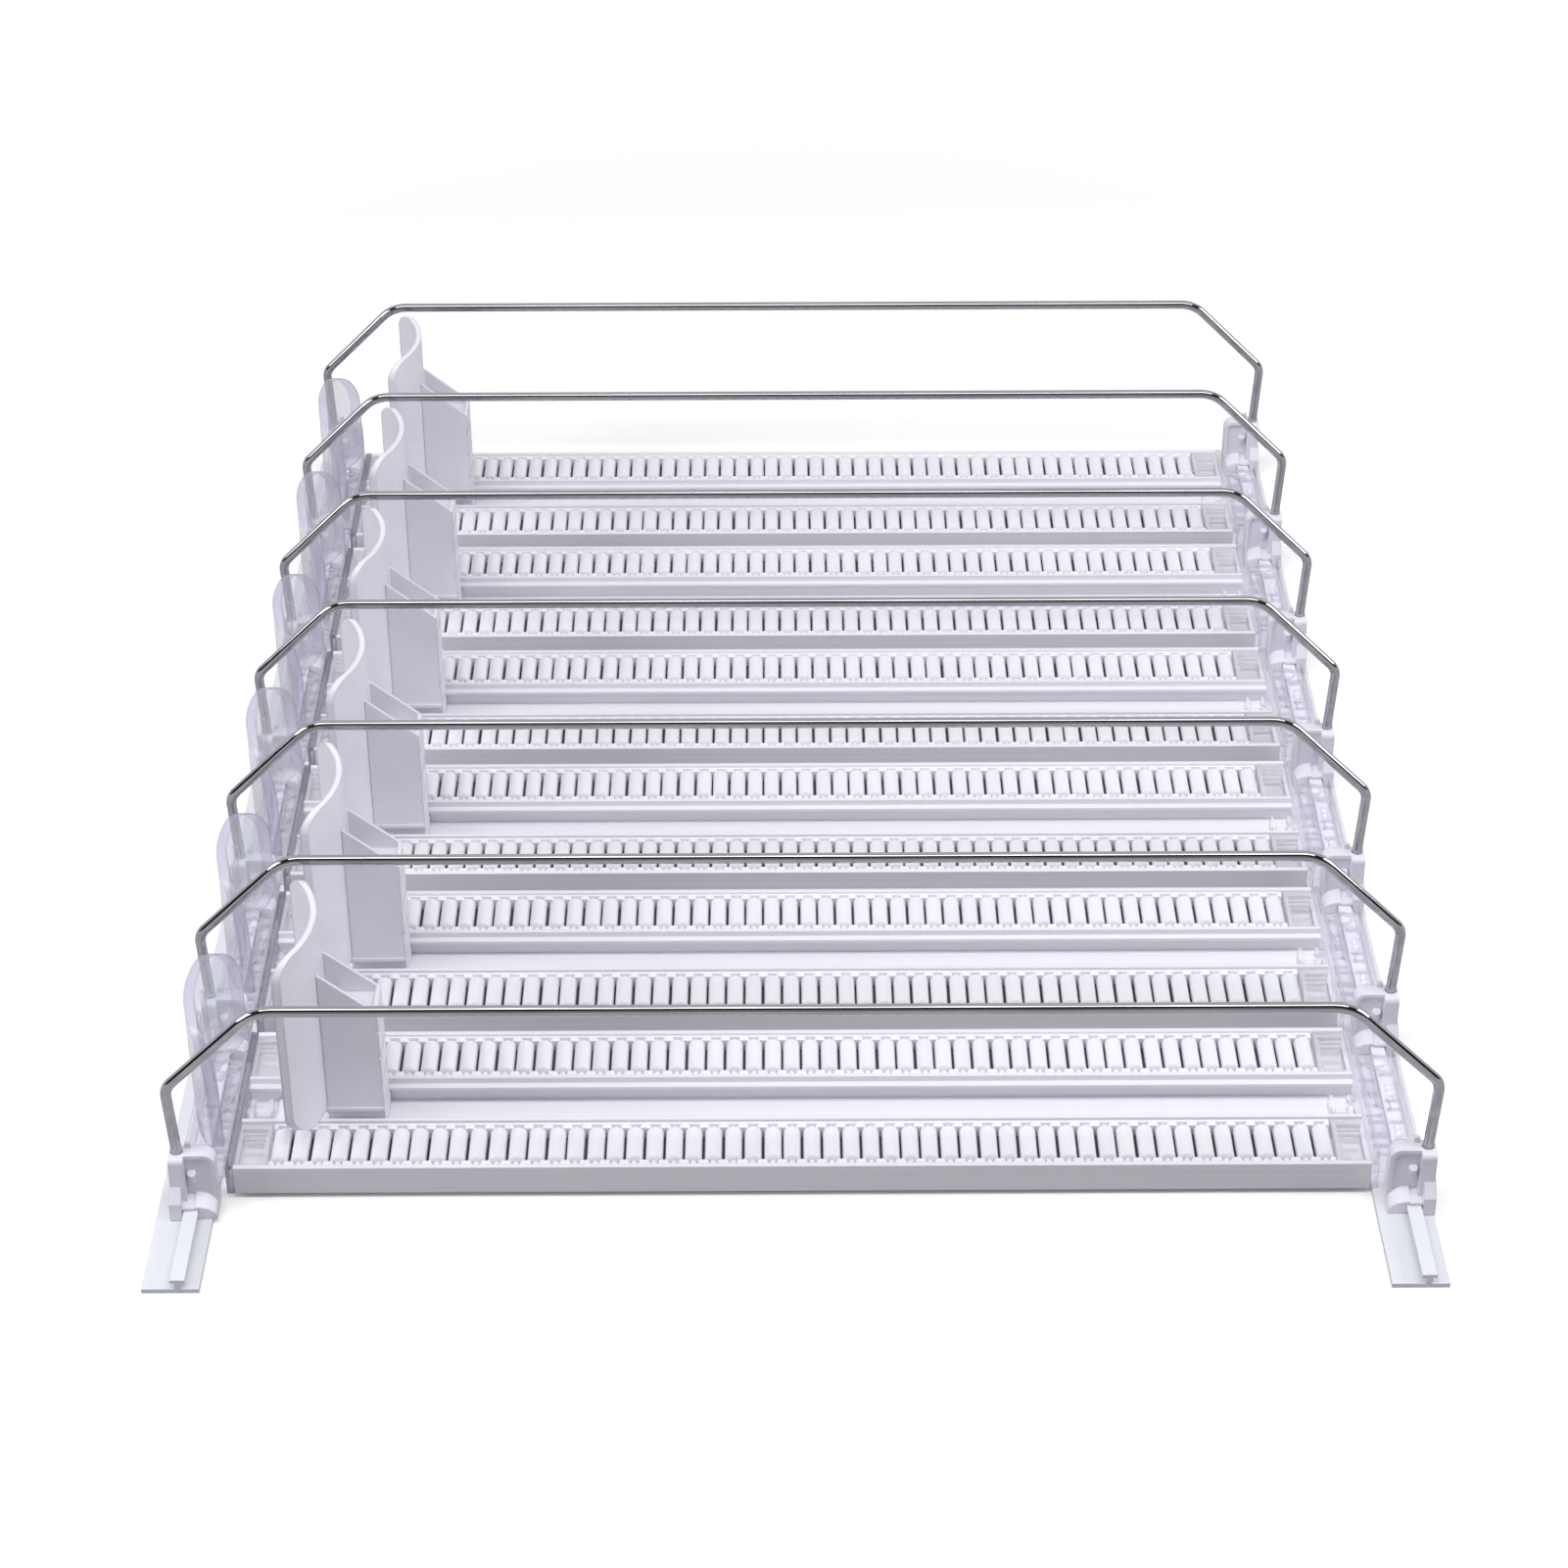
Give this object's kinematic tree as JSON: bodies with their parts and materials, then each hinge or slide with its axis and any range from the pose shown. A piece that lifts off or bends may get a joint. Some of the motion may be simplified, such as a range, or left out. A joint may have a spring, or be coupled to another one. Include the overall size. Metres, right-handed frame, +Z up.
{
  "type": "roller shelf with spring pushers",
  "caption": "Roller shelf for cans and bottles: roller lanes between wire dividers, each with a sprung pusher and a clear curved front stop, clipped to two rails.",
  "frame": {"origin": "centre of the footprint, on the surface the rails stand on", "axes": "+X along the lanes from the customer's front stops to the loading end, +Y across the lanes from the near side to the far side, +Z up"},
  "size_m": [0.3529, 0.466, 0.0735],
  "materials": {
    "rail_plastic": "satin",
    "wire_steel": "satin",
    "bracket_plastic": "satin",
    "tray_metal": "satin",
    "roller_plastic": "satin",
    "clear_plastic": "clear gloss",
    "pusher_plastic": "satin",
    "spring_steel": "bright"
  },
  "bodies": {
    "shelf": {"front_rail": "rail_plastic", "rear_rail": "rail_plastic", "divider_wire_1": "wire_steel", "divider_wire_2": "wire_steel", "divider_wire_3": "wire_steel", "divider_wire_4": "wire_steel", "divider_wire_5": "wire_steel", "divider_wire_6": "wire_steel", "divider_wire_7": "wire_steel", "front_bracket_1": "bracket_plastic", "front_bracket_2": "bracket_plastic", "front_bracket_3": "bracket_plastic", "front_bracket_4": "bracket_plastic", "front_bracket_5": "bracket_plastic", "front_bracket_6": "bracket_plastic", "front_bracket_7": "bracket_plastic", "rear_bracket_1": "bracket_plastic", "rear_bracket_2": "bracket_plastic", "rear_bracket_3": "bracket_plastic", "rear_bracket_4": "bracket_plastic", "rear_bracket_5": "bracket_plastic", "rear_bracket_6": "bracket_plastic", "rear_bracket_7": "bracket_plastic", "tray_1": "tray_metal", "tray_2": "tray_metal", "tray_3": "tray_metal", "tray_4": "tray_metal", "tray_5": "tray_metal", "tray_6": "tray_metal", "roller_strips_1": "roller_plastic", "roller_strips_2": "roller_plastic", "roller_strips_3": "roller_plastic", "roller_strips_4": "roller_plastic", "roller_strips_5": "roller_plastic", "roller_strips_6": "roller_plastic", "front_cap_1": "clear_plastic", "front_cap_2": "clear_plastic", "front_cap_3": "clear_plastic", "front_cap_4": "clear_plastic", "front_cap_5": "clear_plastic", "front_cap_6": "clear_plastic", "rear_cap_1": "clear_plastic", "rear_cap_2": "clear_plastic", "rear_cap_3": "clear_plastic", "rear_cap_4": "clear_plastic", "rear_cap_5": "clear_plastic", "rear_cap_6": "clear_plastic"},
    "pusher_body_1": {"pusher_1": "pusher_plastic", "pusher_spring_1": "spring_steel"},
    "pusher_body_2": {"pusher_2": "pusher_plastic", "pusher_spring_2": "spring_steel"},
    "pusher_body_3": {"pusher_3": "pusher_plastic", "pusher_spring_3": "spring_steel"},
    "pusher_body_4": {"pusher_4": "pusher_plastic", "pusher_spring_4": "spring_steel"},
    "pusher_body_5": {"pusher_5": "pusher_plastic", "pusher_spring_5": "spring_steel"},
    "pusher_body_6": {"pusher_6": "pusher_plastic", "pusher_spring_6": "spring_steel"}
  },
  "joints": [
    {"name": "pusher_slide_1", "type": "slide", "parent": "shelf", "child": "pusher_body_1", "axis": [1, 0, 0], "range_m": [0, 0.267], "stiffness_N_per_m": 3, "springref_m": -0.35},
    {"name": "pusher_slide_2", "type": "slide", "parent": "shelf", "child": "pusher_body_2", "axis": [1, 0, 0], "range_m": [0, 0.267], "stiffness_N_per_m": 3, "springref_m": -0.35},
    {"name": "pusher_slide_3", "type": "slide", "parent": "shelf", "child": "pusher_body_3", "axis": [1, 0, 0], "range_m": [0, 0.267], "stiffness_N_per_m": 3, "springref_m": -0.35},
    {"name": "pusher_slide_4", "type": "slide", "parent": "shelf", "child": "pusher_body_4", "axis": [1, 0, 0], "range_m": [0, 0.267], "stiffness_N_per_m": 3, "springref_m": -0.35},
    {"name": "pusher_slide_5", "type": "slide", "parent": "shelf", "child": "pusher_body_5", "axis": [1, 0, 0], "range_m": [0, 0.267], "stiffness_N_per_m": 3, "springref_m": -0.35},
    {"name": "pusher_slide_6", "type": "slide", "parent": "shelf", "child": "pusher_body_6", "axis": [1, 0, 0], "range_m": [0, 0.267], "stiffness_N_per_m": 3, "springref_m": -0.35}
  ]
}
